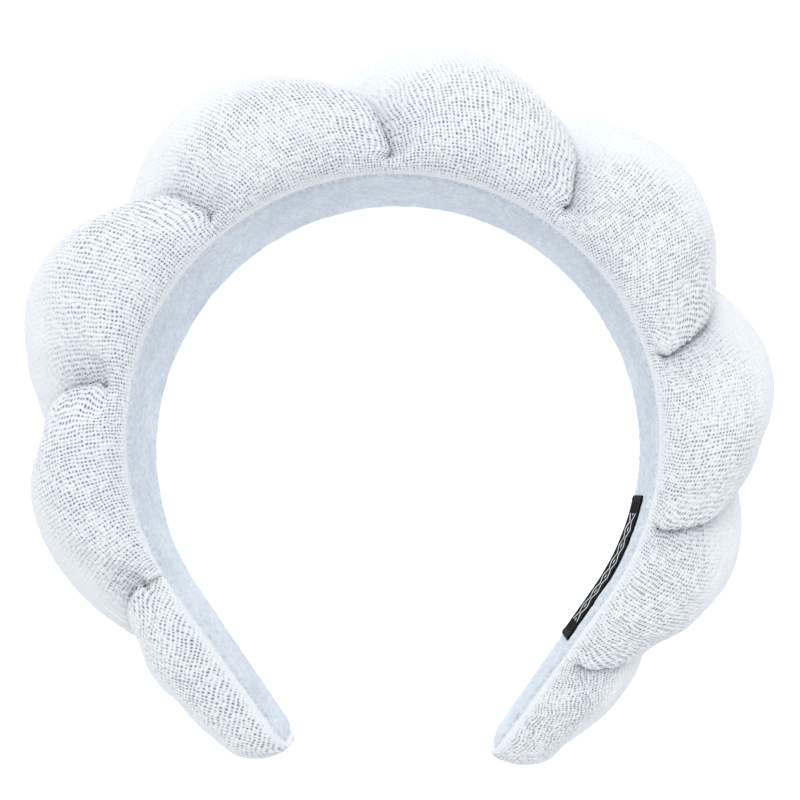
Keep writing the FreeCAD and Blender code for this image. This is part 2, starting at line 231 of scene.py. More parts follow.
def rise_profile(y, power):
    """From 0 at a crease to 1 at y = 1, steep at first."""
    y = np.clip(y, 0, 1)
    return np.sqrt(1 - (1 - y) ** 2) ** power


class Roll:
    """The cover's surface as a grid: columns along the band (t), rows round the section (v)."""

    def __init__(self, columns_per_puff, rows):
        self.t = np.linspace(0, PUFFS, PUFFS * columns_per_puff + 1)
        heights = [TIP_HEIGHT] + PUFF_HEIGHT + [TIP_HEIGHT]
        depths = [TIP_DEPTH] + PUFF_DEPTH + [TIP_DEPTH]
        spots = np.concatenate([[0], np.arange(PUFFS) + 0.5, [PUFFS]])
        self.peak = np.interp(self.t, spots, heights)
        self.depth = np.interp(self.t, spots, depths)
        self.neck = np.interp(self.t, np.arange(1, PUFFS), [c[2] for c in CREASES])
        self.neck_depth = np.interp(self.t, np.arange(1, PUFFS), [c[3] for c in CREASES])
        index = np.minimum(self.t.astype(int), PUFFS - 1)
        self.x = self.t - index
        outline = crease_outline()
        self.outline = outline[index] * (1 - self.x) + outline[index + 1] * self.x
        self.half = lining_half(self.outline)
        self.index = index
        self.angle, self.arc = self.even_rows(rows)
        self.build(rows)

    def even_rows(self, rows):
        """Section angles that space the rows evenly, and the length along the section of each."""
        dense = np.radians(np.linspace(-90, 270, 721))
        angles = np.empty((len(self.t), rows))
        arcs = np.empty((len(self.t), rows))
        for i in range(len(self.t)):
            n, z = section(dense, self.peak[i], self.depth[i], self.half[i], EDGE_HEIGHT)
            length = np.concatenate([[0], np.cumsum(np.hypot(np.diff(n), np.diff(z)))])
            even = np.linspace(0, length[-1], rows)
            angles[i] = np.interp(even, length, dense)
            arcs[i] = even
        return angles, arcs

    def build(self, rows):
        """Works out every point's station, height and depth, and its distances to the creases."""
        t, x = self.t[:, None], self.x[:, None]
        share = np.linspace(0, 1, rows)[None, :]
        total = self.arc[:, -1:]
        slant = np.clip((share - 0.5) / SLANT_REACH, -1, 1)
        slant = np.sin(slant * math.pi / 2) * 0.25 + slant * 0.75
        low = np.empty((len(self.t), rows))
        high = np.empty((len(self.t), rows))
        for i in range(PUFFS):
            mask = self.index == i
            low[mask] = crease_station(i, slant)
            high[mask] = crease_station(i + 1, slant)
        station = low * (1 - x) + high * x
        length = np.radians(np.abs(high - low)) * CREASE_RADIUS

        # front = 1 on the front face and 0 on the back face: which of two puffs lies over the other
        front = 1 - smoothstep(*FRONT_TO_BACK, share)
        start_width = STEEP_WIDTH + (GENTLE_WIDTH - STEEP_WIDTH) * front
        end_width = GENTLE_WIDTH + (STEEP_WIDTH - GENTLE_WIDTH) * front
        start_power = 1.1 + 0.8 * front
        end_power = 1.9 - 0.8 * front
        start = np.where(t < 1, 1.0, rise_profile(x / start_width, start_power))
        end = np.where(t > PUFFS - 1, 1.0, rise_profile((1 - x) / end_width, end_power))
        swell = start * end
        edge = np.minimum(self.arc, total - self.arc)
        low = np.interp(self.t, np.arange(1, PUFFS), [c[4] for c in CREASES])[:, None]
        to_end, to_start = (1 - x) * length, x * length
        near = np.minimum(np.where(t < 1, FAR, to_start), np.where(t > PUFFS - 1, FAR, to_end))
        width = HOLD_WIDTH + HOLD_GROWTH * smoothstep(3, 16, near)
        hold = smoothstep(low, low + width, edge)
        valley = np.exp(-((1 - x) * length / VALLEY_WIDTH) ** 2) * (t < PUFFS - 1)
        valley = np.maximum(valley, np.exp(-(x * length / VALLEY_WIDTH) ** 2) * (t > 1))
        gentle_swell = 1 - VALLEY_SHARE * valley
        swell = gentle_swell + (swell - gentle_swell) * hold
        height = self.neck[:, None] + (self.peak - self.neck)[:, None] * swell
        depth = self.neck_depth[:, None] + (self.depth - self.neck_depth)[:, None] * swell

        tip = np.minimum(self.tip_distance(TIP_LEFT, station), self.tip_distance(TIP_RIGHT, station))
        cap = np.clip(tip / CAP_LENGTH, 0, 1)
        cap = (1 - (1 - cap) ** CAP_POWER) ** (1 / CAP_POWER)
        height = EDGE_HEIGHT + (height - EDGE_HEIGHT) * (CAP_HEIGHT + (1 - CAP_HEIGHT) * cap)
        half = self.half[:, None] * (CAP_HALF + (1 - CAP_HALF) * cap)
        depth = np.maximum(depth * (CAP_DEPTH + (1 - CAP_DEPTH) * cap), half * 1.02)
        n, z = section(self.angle, height, depth, half, EDGE_HEIGHT)

        # the shoulder that lies over the next puff leans across the crease
        far_end, far_start = to_end / OVERLAP_WIDTH, to_start / OVERLAP_WIDTH
        lean_end = np.where(t > PUFFS - 1, 0, far_end * np.exp(1 - far_end))
        lean_start = np.where(t < 1, 0, far_start * np.exp(1 - far_start))
        lift = hold * OVERLAP
        station = station - np.degrees(lean_end * front * lift / CREST_RADIUS)
        station = station + np.degrees(lean_start * (1 - front) * lift / CREST_RADIUS)
        self.station, self.z = station, z
        self.share, self.front, self.hold = share, front, hold
        self.to_end, self.to_start, self.edge = to_end, to_start, edge
        self.points = band_point(station, n, z)
        self.settle()
        bent = np.clip(self.outline, ARC_RIGHT, ARC_LEFT)
        run = np.radians(90.0 - bent) * KNIT_RADIUS + np.radians(bent - self.outline) * CORE_MID
        self.knit_u = run[:, None] + 0 * self.arc
        self.knit_v = self.arc - total / 2

    def settle(self):
        """Flattens what would sink into the ground the band lies on."""
        place = np.array(REST)
        up = place[2, :3]
        height = self.points @ up + place[2, 3] / MM
        rest = np.where(height < SOFT, SOFT * np.exp(np.minimum(height / SOFT - 1, 0)), height)
        self.points = self.points + (rest - height)[..., None] * up

    @staticmethod
    def tip_distance(tip, station):
        return np.abs(np.radians(tip - station)) * CORE_MID

    def creases(self):
        """Distances to the creases at a puff's start and end, FAR where there is none."""
        start = np.where(self.t[:, None] < 1, FAR, self.to_start)
        end = np.where(self.t[:, None] > PUFFS - 1, FAR, self.to_end)
        return start, end

    def normals(self):
        along = np.gradient(self.points, axis=0)
        across = np.gradient(self.points, axis=1)
        normal = np.cross(along, across)
        size = np.linalg.norm(normal, axis=-1, keepdims=True)
        return normal / np.maximum(size, 1e-9)

    def displace(self, amount):
        self.points = self.points + self.normals() * amount[..., None]


def grid_faces(columns, rows, close=False):
    i = np.arange(columns - 1)[:, None]
    last = rows if close else rows - 1
    j = np.arange(last)[None, :]
    a = i * rows + j
    b = i * rows + (j + 1) % rows
    return np.stack([a, a + rows, b + rows, b], -1).reshape(-1, 4)


def new_mesh(name, points, faces, vectors=None):
    """A mesh piece from band-frame points, with optional named vectors per point."""
    mesh = bpy.data.meshes.new(name)
    count = len(points)
    place = np.array(REST)
    world = points @ place[:3, :3].T * MM + place[:3, 3]
    mesh.vertices.add(count)
    mesh.vertices.foreach_set("co", world.astype(np.float32).ravel())
    mesh.loops.add(faces.size)
    mesh.loops.foreach_set("vertex_index", faces.astype(np.int32).ravel())
    mesh.polygons.add(len(faces))
    corners = faces.shape[1]
    mesh.polygons.foreach_set("loop_start", np.arange(0, faces.size, corners, dtype=np.int32))
    mesh.polygons.foreach_set("use_smooth", np.ones(len(faces), dtype=bool))
    mesh.update(calc_edges=True)
    mesh.validate()
    for key, values in (vectors or {}).items():
        layer = mesh.attributes.new(key, "FLOAT_VECTOR", "POINT")
        layer.data.foreach_set("vector", values.astype(np.float32).ravel())
    piece = bpy.data.objects.new(name, mesh)
    bpy.context.scene.collection.objects.link(piece)
    return piece


def bend(piece, joint):
    """Works out the way across the crease between puff joint and puff joint + 1, along its slant, but
    leaves it unused and only bakes the piece's transform.
    """
    inner, outline = CREASES[joint - 1][:2]
    station = np.array(outline * 0.7 + inner * 0.3)
    turn = math.radians(float(np.clip(station, ARC_RIGHT, ARC_LEFT)))
    clockwise = np.array([math.sin(turn), -math.cos(turn), 0])
    slope = math.radians(outline - inner) * CREST_RADIUS / 20.0
    across = clockwise + np.array([0, 0, -0.6 * slope])
    across /= np.linalg.norm(across)
    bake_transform(piece)


# ---------------------------------------------------------------- materials
def material(name, color, roughness, sheen=0.0, gloss=0.25):
    mat = bpy.data.materials.new(name)
    mat.use_nodes = True
    shader = mat.node_tree.nodes["Principled BSDF"]
    shader.inputs["Base Color"].default_value = (*color, 1)
    shader.inputs["Roughness"].default_value = roughness
    shader.inputs["Specular IOR Level"].default_value = gloss
    shader.inputs["Sheen Weight"].default_value = sheen
    shader.inputs["Sheen Roughness"].default_value = 0.6
    return mat, mat.node_tree, shader


def math_node(tree, operation, first, second=None, clamp=False):
    made = tree.nodes.new("ShaderNodeMath")
    made.operation = operation
    made.use_clamp = clamp
    for slot, value in enumerate((first, second)):
        if value is None:
            continue
        if isinstance(value, (int, float)):
            made.inputs[slot].default_value = value
        else:
            tree.links.new(value, made.inputs[slot])
    return made.outputs[0]


def noise_node(tree, scale, detail=2.0, rough=0.5):
    coords = tree.nodes.new("ShaderNodeTexCoord")
    made = tree.nodes.new("ShaderNodeTexNoise")
    made.inputs["Scale"].default_value = scale
    made.inputs["Detail"].default_value = detail
    made.inputs["Roughness"].default_value = rough
    tree.links.new(coords.outputs["Object"], made.inputs["Vector"])
    return made.outputs["Fac"]


def mix_color(tree, share, first, second):
    made = tree.nodes.new("ShaderNodeMix")
    made.data_type = "RGBA"
    for slot, value in ((6, first), (7, second)):
        if isinstance(value, tuple):
            made.inputs[slot].default_value = (*value, 1)
        else:
            tree.links.new(value, made.inputs[slot])
    tree.links.new(share, made.inputs[0])
    return made.outputs[2]


def add_bump(tree, shader, height, strength, distance):
    bump = tree.nodes.new("ShaderNodeBump")
    bump.inputs["Strength"].default_value = strength
    bump.inputs["Distance"].default_value = distance
    tree.links.new(height, bump.inputs["Height"])
    tree.links.new(bump.outputs[0], shader.inputs["Normal"])


def attribute_parts(tree, name):
    """The three numbers of a named vector attribute."""
    made = tree.nodes.new("ShaderNodeAttribute")
    made.attribute_name = name
    split = tree.nodes.new("ShaderNodeSeparateXYZ")
    tree.links.new(made.outputs["Vector"], split.inputs[0])
    return split.outputs


def wave(tree, value):
    """From 0 between the holes to 1 at them, once per unit of value."""
    cosine = math_node(tree, "COSINE", math_node(tree, "MULTIPLY", value, 2 * math.pi))
    return math_node(tree, "ADD", math_node(tree, "MULTIPLY", cosine, 0.5), 0.5)


def terry_material():
    """White terry: rows of small holes between short loops, with a soft pile; painted shade darkens the
    holes, the row grooves and the creases.
    """
    mat, tree, shader = material("terry_cloth", (0.86, 0.885, 0.92), 0.95, 0.08)
    knit = attribute_parts(tree, "knit")
    row, along = wave(tree, knit[0]), wave(tree, knit[1])
    # hole and clear: where the knit's holes open, darkened with painted shade
    hole = math_node(tree, "POWER", math_node(tree, "MULTIPLY", row, along), 1.7)
    clear = math_node(tree, "MULTIPLY", hole, knit[2], clamp=True)
    fold = attribute_parts(tree, "fold")
    # groove: painted shade along the knit's rows
    groove = math_node(tree, "MULTIPLY", math_node(tree, "POWER", row, 3.0), 0.13)
    groove = math_node(tree, "MULTIPLY", math_node(tree, "MULTIPLY", groove, fold[1]), fold[2])
    tuft = noise_node(tree, 1500.0, 2.0, 0.6)
    speck = math_node(tree, "MULTIPLY", math_node(tree, "SUBTRACT", tuft, 0.45, clamp=True), 0.6)
    speck = math_node(tree, "MULTIPLY", speck, math_node(tree, "ADD", fold[1], 0.5, clamp=True))
    # shade: painted shade of the holes and grooves plus random pile speckle, mixed from white to
    # blue-grey
    shade = math_node(tree, "ADD", math_node(tree, "MULTIPLY", clear, 0.92), groove)
    shade = math_node(tree, "ADD", shade, speck, clamp=True)
    tone = mix_color(tree, shade, (0.91, 0.93, 0.95), (0.19, 0.25, 0.34))
    # painted shade: darkens the colour to grey-blue at the bottom of the creases and beside them
    deep = math_node(tree, "MULTIPLY", fold[0], 0.75)
    tone = mix_color(tree, deep, tone, (0.22, 0.25, 0.31))
    tree.links.new(tone, shader.inputs["Base Color"])
    fibre = noise_node(tree, 3200.0, 2.0, 0.7)
    fuzz = math_node(tree, "ADD", math_node(tree, "MULTIPLY", fibre, 0.4),
                     math_node(tree, "MULTIPLY", tuft, 0.6))
    height = math_node(tree, "SUBTRACT", fuzz, math_node(tree, "MULTIPLY", clear, 0.9))
    add_bump(tree, shader, height, 0.7, 0.0005)
    return mat


def velvet_material():
    """Pale grey short-pile velvet, brushed along the band; its grey is partly the velvet's own tone and
    partly painted shade of the inner face.
    """
    mat, tree, shader = material("lining_velvet", (0.66, 0.71, 0.77), 0.9, 0.5)
    broad = noise_node(tree, 90.0, 3.0, 0.6)
    fine = noise_node(tree, 2600.0, 3.0, 0.75)
    clump = noise_node(tree, 900.0, 2.0, 0.6)
    share = math_node(tree, "ADD", math_node(tree, "MULTIPLY", broad, 0.35),
                      math_node(tree, "MULTIPLY", clump, 0.65))
    share = math_node(tree, "MULTIPLY", math_node(tree, "SUBTRACT", share, 0.5), 2.6)
    share = math_node(tree, "ADD", share, 0.5, clamp=True)
    # painted shade: the blue-grey range stands partly for shade on the inner face, mottled at random
    tone = mix_color(tree, share, (0.46, 0.55, 0.64), (0.84, 0.90, 0.96))
    tree.links.new(tone, shader.inputs["Base Color"])
    add_bump(tree, shader, math_node(tree, "ADD", fine, clump), 0.5, 0.0005)
    return mat


def thread_material(name, color):
    mat, tree, shader = material(name, color, 0.7, 0.3)
    ply = noise_node(tree, 2400.0, 2.0, 0.6)
    tone = mix_color(tree, ply, tuple(0.82 * c for c in color), color)
    tree.links.new(tone, shader.inputs["Base Color"])
    add_bump(tree, shader, ply, 0.4, 0.0001)
    return mat


def foam_material():
    mat, tree, shader = material("sponge_foam", (0.9, 0.88, 0.82), 0.95)
    cells = tree.nodes.new("ShaderNodeTexVoronoi")
    cells.inputs["Scale"].default_value = 900.0
    coords = tree.nodes.new("ShaderNodeTexCoord")
    tree.links.new(coords.outputs["Object"], cells.inputs["Vector"])
    tone = mix_color(tree, cells.outputs["Distance"], (0.9, 0.88, 0.82), (0.7, 0.67, 0.6))
    tree.links.new(tone, shader.inputs["Base Color"])
    return mat


def label_material():
    """Black ribbon weave with a white motif woven in."""
    black = (0.004, 0.005, 0.007)
    mat, tree, shader = material("woven_ribbon", black, 0.9, gloss=0.05)
    weave = attribute_parts(tree, "weave")
    warp = wave(tree, math_node(tree, "MULTIPLY", weave[1], 2.6))
    weft = wave(tree, math_node(tree, "MULTIPLY", weave[0], 2.0))
    grain = math_node(tree, "MULTIPLY", warp, weft)
    white = math_node(tree, "MULTIPLY", weave[2], math_node(tree, "ADD", grain, 0.75), clamp=True)
    tone = mix_color(tree, white, black, (0.80, 0.82, 0.84))
    tree.links.new(tone, shader.inputs["Base Color"])
    add_bump(tree, shader, grain, 0.5, 0.00015)
    return mat


def core_material():
    mat, tree, shader = material("natural_plastic", (0.82, 0.82, 0.80), 0.45)
    haze = noise_node(tree, 120.0, 4.0, 0.6)
    tone = mix_color(tree, haze, (0.78, 0.78, 0.76), (0.86, 0.86, 0.84))
    tree.links.new(tone, shader.inputs["Base Color"])
    return mat


TERRY = terry_material()
VELVET = velvet_material()
LOOP_THREAD = thread_material("edge_loops", (0.93, 0.94, 0.95))
CINCH_THREAD = thread_material("cinch_yarn", (0.80, 0.82, 0.86))
FOAM = foam_material()
CORE = core_material()
LABEL_CLOTH = label_material()
LABEL_THREAD = thread_material("black_thread", (0.03, 0.03, 0.035))


def dress(piece, mat):
    piece.data.materials.clear()
    piece.data.materials.append(mat)
    return piece


# ---------------------------------------------------------------- cover
def gathers(roll):
    """Short pleats that run out of each crease, mostly on the puff that tucks under its neighbour."""
    t = roll.t[:, None] + 0 * roll.share
    wander = 1.3 * lattice_noise(t * 5, roll.arc / 6, 3)
    amount = np.zeros_like(roll.arc)
    for distance, weight, seed in ((roll.to_start, roll.front, 5), (roll.to_end, 1 - roll.front, 6)):
        pleat = np.sin(2 * math.pi * (roll.arc + wander + seed) / PLEAT_PITCH)
        pleat = pleat + 0.6 * np.sin(2 * math.pi * (roll.arc * 1.37 + 2 * wander) / PLEAT_PITCH)
        vary = 0.55 + 0.45 * lattice_noise(t * 2 + seed, roll.arc / 5, seed)
        fade = np.exp(-((distance - 2.0) / 5.5) ** 2) * (0.35 + 0.65 * weight)
        amount += PLEAT_HEIGHT * pleat * vary * fade * roll.hold
    amount[roll.t < 0.2] *= 0.3
    return amount


def spread(values, spots, count, width):
    """Values known at spots of the first axis, carried to every index and rounded off."""
    flat = values.reshape(len(spots), -1)
    upto = np.searchsorted(spots, np.arange(count), side="right").clip(1, len(spots) - 1)
    before, after = spots[upto - 1], spots[upto]
    share = ((np.arange(count) - before) / (after - before))[:, None]
    full = flat[upto - 1] * (1 - share) + flat[upto] * share
    padded = np.concatenate([full[:1].repeat(width, 0), full, full[-1:].repeat(width, 0)])
    total = np.cumsum(padded, 0)
    smooth = (total[width:] - total[:-width]) / width
    first = width // 2
    return smooth[first:first + count].reshape((count,) + values.shape[1:])


def fill_with_foam(roll):
    """Cloth simulation: the cover, cut a little large, swells between its creases and its edges."""
    columns = np.arange(0, len(roll.t), CLOTH_COLUMNS)
    rows = np.linspace(0, ROWS - 1, CLOTH_ROWS).round().astype(int)
    pick = np.ix_(columns, rows)
    near = np.minimum(*roll.creases())[pick]
    target = roll.points[pick]
    free = roll.hold[pick] * smoothstep(0.5, 4.0, near)
    small = target - roll.normals()[pick] * (CLOTH_GAP * free)[..., None]
    piece = new_mesh("cloth_trial", small.reshape(-1, 3), grid_faces(len(columns), len(rows)))
    held = piece.vertex_groups.new(name="held")
    for number, share in enumerate((1 - free).ravel()):
        held.add([number], float(share), "REPLACE")
    cloth = piece.modifiers.new("Cloth", "CLOTH")
    settings = cloth.settings
    settings.quality = 5
    settings.use_pressure = True
    settings.uniform_pressure_force = 6.0
    settings.effector_weights.gravity = 0
    settings.vertex_group_mass = "held"
    settings.shrink_min = -0.03
    settings.bending_stiffness = 0.05
    settings.tension_stiffness = 20
    settings.compression_stiffness = 20
    cloth.point_cache.frame_end = CLOTH_FRAMES
    scene = bpy.context.scene
    for step in range(1, CLOTH_FRAMES + 1):
        scene.frame_set(step)
    settled = piece.evaluated_get(bpy.context.evaluated_depsgraph_get()).to_mesh()
    world = np.empty(len(settled.vertices) * 3, dtype=np.float32)
    settled.vertices.foreach_get("co", world)
    place = np.array(REST)
    points = (world.reshape(-1, 3) - place[:3, 3]) @ place[:3, :3] / MM
    move = points.reshape(target.shape) - target
    outward = roll.normals()[pick]
    sunk = np.minimum(np.sum(move * outward, -1), 0)
    move -= outward * (INWARD_CUT * sunk)[..., None]
    size = np.linalg.norm(move, axis=-1)
    most = CLOTH_CAP_AT_CREASE + (CLOTH_CAP - CLOTH_CAP_AT_CREASE) * smoothstep(1, 9, near)
    move *= (most * np.tanh(size / most) / np.maximum(size, 1e-9))[..., None]
    scene.frame_set(1)
    bpy.data.objects.remove(piece)
    move = spread(move, columns, len(roll.t), CLOTH_COLUMNS)
    move = spread(move.swapaxes(0, 1), rows, ROWS, ROWS // CLOTH_ROWS).swapaxes(0, 1)
    roll.points = roll.points + move
    roll.settle()


def knit_coordinates(roll):
    """Rows and holes of the knit, in pitches, and how open each hole is between its loops."""
    middle = np.interp(np.arange(PUFFS) + 0.5, roll.t, roll.knit_u[:, 0])[roll.index][:, None]
    turn = np.array(KNIT_TURN)[roll.index][:, None]
    along = roll.knit_u - middle
    u = middle + along * np.cos(turn) + roll.knit_v * np.sin(turn)
    v = roll.knit_v * np.cos(turn) - along * np.sin(turn)
    u = u + 0.5 * lattice_noise(u / 7, v / 7, 11) + 0.24 * lattice_noise(u / 1.6, v / 1.6, 15)
    v = v + 0.5 * lattice_noise(u / 7, v / 7, 12) + 0.26 * lattice_noise(u / 1.6, v / 1.6, 16)
    fine = np.array(KNIT_SCALE)[roll.index][:, None]
    a, b = u / (ROW_PITCH * fine), v / (HOLE_PITCH * fine)
    own = 0.5 + 0.5 * lattice_noise(a, b, 17)
    patch = 0.95 + 0.40 * lattice_noise(u / 9, v / 9, 13)
    # seen fades the holes and their painted shade over each puff's crest, painting the lit top lighter,
    # and near the lining's edge
    crest = np.abs(roll.share - 0.5)
    seen = (0.10 + 0.90 * smoothstep(0.14, 0.28, crest)) * smoothstep(0.8, 4.5, roll.edge)
    open_share = np.clip(patch, 0.15, 1) * (0.15 + 1.3 * own) * seen
    return a, b, np.clip(open_share, 0.04, 1), seen


def fold_shade(roll):
    """How much painted shade a point gets in a crease, from 0 to 1: narrow at the crease's bottom and
    broader on the puff that tucks under its neighbour.
    """
    start, end = roll.creases()
    near = np.minimum(start, end)
    under = np.exp(-(start / 7.5) ** 2) * roll.front + np.exp(-(end / 7.5) ** 2) * (1 - roll.front)
    return (np.exp(-(near / 2.0) ** 2) + 0.28 * under) * roll.hold


def make_roll():
    """The finished cover surface: puffs, gathers, cloth simulation, then the knit's holes and loops."""
    roll = Roll(COLUMNS_PER_PUFF, ROWS)
    t = roll.t[:, None] + 0 * roll.share
    broad = 0.55 * lattice_noise(t * 2.3, roll.arc / 17, 1) + 0.3 * lattice_noise(t * 6, roll.arc / 8, 2)
    roll.displace((broad + gathers(roll)) * roll.hold)
    fill_with_foam(roll)
    a, b, open_share, seen = knit_coordinates(roll)
    hole = (0.5 + 0.5 * np.cos(2 * math.pi * a)) * (0.5 + 0.5 * np.cos(2 * math.pi * b))
    tuft = lattice_noise(a * 1.9, b * 1.9, 14)
    roll.displace((0.10 + 0.10 * seen) * tuft - HOLE_DEPTH * hole * open_share + 0.06)
    roll.knit = np.stack([a, b, open_share], -1)
    rowed = np.array(KNIT_ROWED)[roll.index][:, None]
    # fold holds the masks of painted shade: in the creases, over the holes away from the crests, and
    # along the row grooves
    roll.fold = np.stack([fold_shade(roll), seen + 0 * a, rowed + 0 * a], -1)
    return roll


def joint_columns(joint, columns_per_puff):
    """First and last column of the stretch that bends at a joint: middle of one puff to the next."""
    first = 0 if joint == 1 else int((joint - 0.5) * columns_per_puff)
    last = PUFFS * columns_per_puff if joint == PUFFS - 1 else int((joint + 0.5) * columns_per_puff)
    return first, last


def stretch_nodes(kind, joint):
    """CAD nodes that a stretch stands for: its left puff's, and at the last joint its right one's."""
    names = ["%s_%d" % (kind, joint)]
    if joint == PUFFS - 1:
        names.append("%s_%d" % (kind, PUFFS))
    return names


def cover_pieces(roll):
    """The terry cover in stretches from mid puff to mid puff, closed by a wall under the lining."""
    normals = roll.normals()
    place = np.array(LEAN.to_matrix())
    for joint in range(1, PUFFS):
        first, last = joint_columns(joint, COLUMNS_PER_PUFF)
        block = roll.points[first:last + 1]
        columns, rows = block.shape[:2]
        share = np.linspace(0, 1, WALL_STEPS + 2)[None, 1:-1]
        ends = roll.station[first:last + 1], roll.z[first:last + 1]
        station, z = (end[:, -1:] * (1 - share) + end[:, :1] * share for end in ends)
        wall = band_point(station, np.full_like(station, WALL_HEIGHT), z)
        block = np.concatenate([block, wall], 1)
        for end, column in ((0, first), (-1, last)):
            if column in (0, len(roll.t) - 1):
                block[end] = block[end].mean(axis=0)
        knit = np.concatenate([roll.knit[first:last + 1], np.zeros((columns, WALL_STEPS, 3))], 1)
        fold = np.concatenate([roll.fold[first:last + 1], np.zeros((columns, WALL_STEPS, 3))], 1)
        flat = np.concatenate([normals[first:last + 1], wall * 0], 1)
        outward = band_point(station, 1 + 0 * z, 0) - band_point(station, 0 * z, 0)
        flat[:, rows:] = -outward
        piece = new_mesh("terry_puffs_%d" % joint, block.reshape(-1, 3),
                         grid_faces(columns, rows + WALL_STEPS, close=True),
                         {"knit": knit.reshape(-1, 3), "fold": fold.reshape(-1, 3)})
        world = flat.reshape(-1, 3) @ place.T
        piece.data.normals_split_custom_set_from_vertices(world.tolist())
        dress(piece, TERRY)
        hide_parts(*stretch_nodes("terry_cover", joint))
        bend(piece, joint)


def foam_pieces():
    """The sponge roll inside the cover, a little smaller all round."""
    roll = Roll(FOAM_COLUMNS, FOAM_ROWS)
    centre = roll.points.mean(axis=1, keepdims=True)
    reach = np.linalg.norm(roll.points - centre, axis=-1, keepdims=True)
    roll.points = centre + (roll.points - centre) * np.clip(1 - FOAM_GAP / reach, 0.3, 1)
    roll.points[:FOAM_SHORT], roll.points[-FOAM_SHORT:] = centre[FOAM_SHORT], centre[-FOAM_SHORT - 1]
    for joint in range(1, PUFFS):
        first, last = joint_columns(joint, FOAM_COLUMNS)
        block = roll.points[first:last + 1]
        piece = new_mesh("foam_roll_%d" % joint, block.reshape(-1, 3),
                         grid_faces(block.shape[0], FOAM_ROWS, close=True))
        dress(piece, FOAM)
        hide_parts(*stretch_nodes("foam_pad", joint))
        bend(piece, joint)


# ---------------------------------------------------------------- lining
def lining_pieces():
    """The velvet strip against the head, its edges and ends tucked in under the cover."""
    t = np.linspace(0, PUFFS, PUFFS * LINING_COLUMNS + 1)
    outline = crease_outline()
    outline[0] -= LINING_SHORT
    outline[-1] += LINING_SHORT
    station = np.interp(t, np.arange(PUFFS + 1), outline)[:, None]
    end = np.minimum(outline[0] - station, station - outline[-1]) * math.radians(CORE_MID)
    end = np.clip(end / 5.0, 0, 1)
    half = lining_half(station) * (0.35 + 0.65 * np.sqrt(1 - (1 - end) ** 2))
    across = np.linspace(-1, 1, LINING_ROWS)[None, :]
    round_off = 0.8 * np.clip((np.abs(across) - 0.955) / 0.045, 0, 1) ** 2
    z = across * half
    pile = 0.11 * lattice_noise(station * 1.3 + 0 * z, z * 1.6, 31)
    pile += 0.10 * lattice_noise(station * 0.35 + 0 * z, z / 5, 32)
    tuck = 1.15 * (1 - end) ** 3
    points = band_point(station + 0 * z, np.maximum(round_off, tuck) + pile, z)
    for joint in range(1, PUFFS):
        first, last = joint_columns(joint, LINING_COLUMNS)
        block = points[first:last + 1]
        piece = new_mesh("velvet_lining_%d" % joint, block.reshape(-1, 3),
                         grid_faces(block.shape[0], block.shape[1]))
        dress(piece, VELVET)
        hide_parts(*stretch_nodes("lining", joint))
        bend(piece, joint)


# ---------------------------------------------------------------- small threads
def tube(path, radius, sides=6):
    """Points and faces of a thin round tube along a path of points, open at both ends."""
    along = np.gradient(path, axis=0)
    along /= np.maximum(np.linalg.norm(along, axis=1, keepdims=True), 1e-9)
    guide = np.array([0.31, 0.52, 0.79])
    first = np.cross(along, guide)
    first /= np.linalg.norm(first, axis=1, keepdims=True)
    second = np.cross(along, first)
    turns = np.linspace(0, 2 * math.pi, sides, endpoint=False)
    ring = np.cos(turns)[None, :, None] * first[:, None] + np.sin(turns)[None, :, None] * second[:, None]
    points = path[:, None] + ring * radius
    return points.reshape(-1, 3), grid_faces(len(path), sides, close=True)[:, ::-1]


def joined(parts):
    """Several lots of points and faces as one."""
    points, faces, offset = [], [], 0
    for some_points, some_faces in parts:
        points.append(some_points)
        faces.append(some_faces + offset)
        offset += len(some_points)
    return np.concatenate(points), np.concatenate(faces)


def edge_loops():
    """The row of small thread loops over both edges of the lining."""
    spacing = math.degrees(LOOP_PITCH / RADIUS)
    left, right = TIP_LEFT - 5, TIP_RIGHT + 5
    stations = np.arange(left, right, -spacing)
    outline = crease_outline()
    middles = (outline[1:-2] + outline[2:-1]) / 2
    turns = np.linspace(0, 1, 9)
    stretches = {joint: [] for joint in range(1, PUFFS)}
    jitter = np.random.default_rng(41)
    for station in stations:
        joint = 1 + int(np.sum(station < middles))
        for side in (1, -1):
            wide = jitter.uniform(0.75, 1.0)
            spots = station + spacing * (turns - 0.5) * 1.25
            half = lining_half(spots)
            arch = np.sin(turns * math.pi)
            depth = side * (half - 0.25 + 0.6 * wide * arch)
            height = 0.5 + 0.35 * arch * wide + 0.12 * np.sin(turns * 2 * math.pi)
            stretches[joint].append(tube(band_point(spots, height, depth), LOOP_RADIUS, 5))
    for joint, loops in stretches.items():
        points, faces = joined(loops)
        piece = new_mesh("edge_loops_%d" % joint, points, faces)
        dress(piece, LOOP_THREAD)
        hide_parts(*stretch_nodes("seam_thread", joint))
        bend(piece, joint)


def cinch_threads(roll):
    """The yarn that pulls each crease in, lying at the bottom of the fold."""
    for joint in range(1, PUFFS):
        column = joint * COLUMNS_PER_PUFF
        line = roll.points[column]
        keep = roll.edge[column] > 9.0
        points, faces = tube(line[keep][::3], 0.3, 8)
        piece = new_mesh("cinch_yarn_%d" % joint, points, faces)
        dress(piece, CINCH_THREAD)
        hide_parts("cinch_thread_%d" % joint)
        bend(piece, joint)


def label_mark(u, v):
    """Generic woven motif: a zigzag between small diamonds. 1 where the thread is white."""
    place = np.abs(u / MARK_STEP - np.round(u / MARK_STEP)) * MARK_STEP
    zigzag = np.abs(np.abs(v) - 1.3 - place * 1.3) < 0.62
    seed = MARK_STEP / 2 - place + np.abs(v) < 0.85
    inside = np.abs(u) < MARK_REACH
    return ((zigzag | seed) & inside).astype(float)


